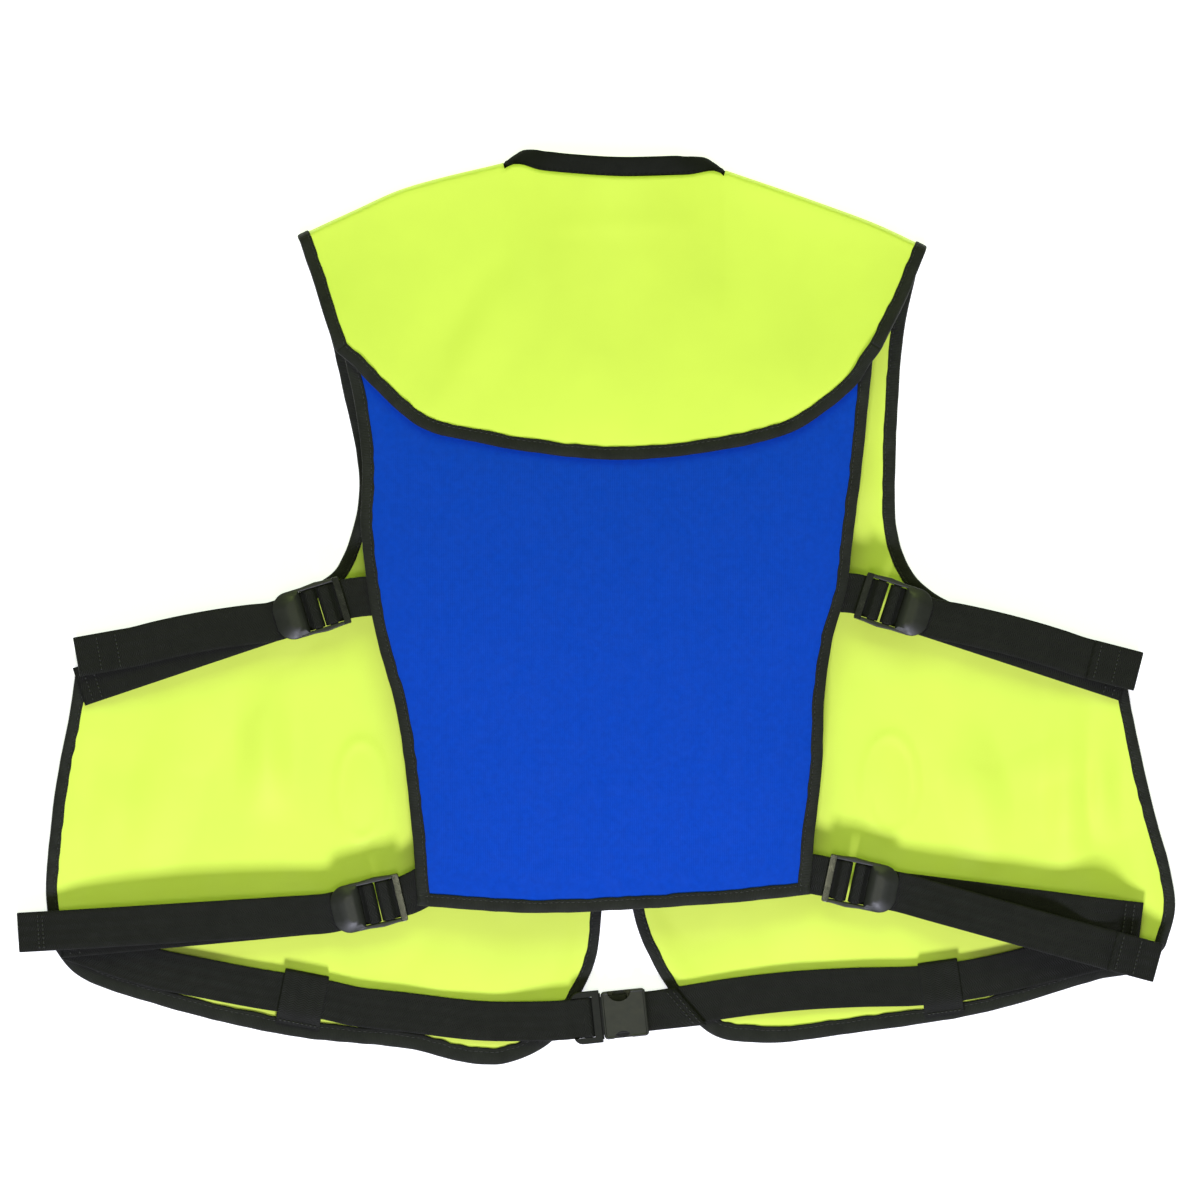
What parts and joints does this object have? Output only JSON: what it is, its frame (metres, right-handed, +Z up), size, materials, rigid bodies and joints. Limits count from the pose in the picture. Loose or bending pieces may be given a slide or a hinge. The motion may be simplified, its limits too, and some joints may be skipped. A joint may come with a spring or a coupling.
{
  "type": "snorkel vest",
  "caption": "Snorkel vest lying on its front: hi-vis yoke and front panels, blue back, adjustable side straps and a buckled waist belt.",
  "frame": {"origin": "middle of the bounding box on the floor that the vest lies on", "axes": "+X to the right of the laid-out vest as seen from above, +Y toward the neck, +Z up from the floor out of the vest's back"},
  "size_m": [0.7298, 0.573, 0.0456],
  "materials": {
    "coated_fabric": "satin coated weave",
    "blue_neoprene": "knit-faced neoprene",
    "black_neoprene": "knit-faced neoprene",
    "edge_tape": "woven tape",
    "webbing": "woven webbing",
    "buckle_plastic": "satin"
  },
  "bodies": {
    "root": {"yoke": "coated_fabric", "front_panel_left": "coated_fabric", "front_panel_right": "coated_fabric", "back_panel": "blue_neoprene", "collar": "black_neoprene", "yoke_hem_binding": "edge_tape", "back_binding_left": "edge_tape", "back_binding_right": "edge_tape", "back_binding_bottom": "edge_tape", "armhole_binding_left": "edge_tape", "side_binding_left": "edge_tape", "hem_binding_left": "edge_tape", "front_edge_binding_left": "edge_tape", "armhole_binding_right": "edge_tape", "side_binding_right": "edge_tape", "hem_binding_right": "edge_tape", "front_edge_binding_right": "edge_tape", "upper_tab_left": "webbing", "upper_ladder_lock_left": "buckle_plastic", "upper_strap_left": "webbing", "upper_tab_right": "webbing", "upper_ladder_lock_right": "buckle_plastic", "upper_strap_right": "webbing", "lower_tab_left": "webbing", "lower_ladder_lock_left": "buckle_plastic", "lower_strap_left": "webbing", "lower_tab_right": "webbing", "lower_ladder_lock_right": "buckle_plastic", "lower_strap_right": "webbing", "buckle_plug": "buckle_plastic", "buckle_socket": "buckle_plastic", "belt_left": "webbing", "belt_right": "webbing", "belt_loop_left": "webbing", "belt_loop_right": "webbing"}
  },
  "joints": []
}
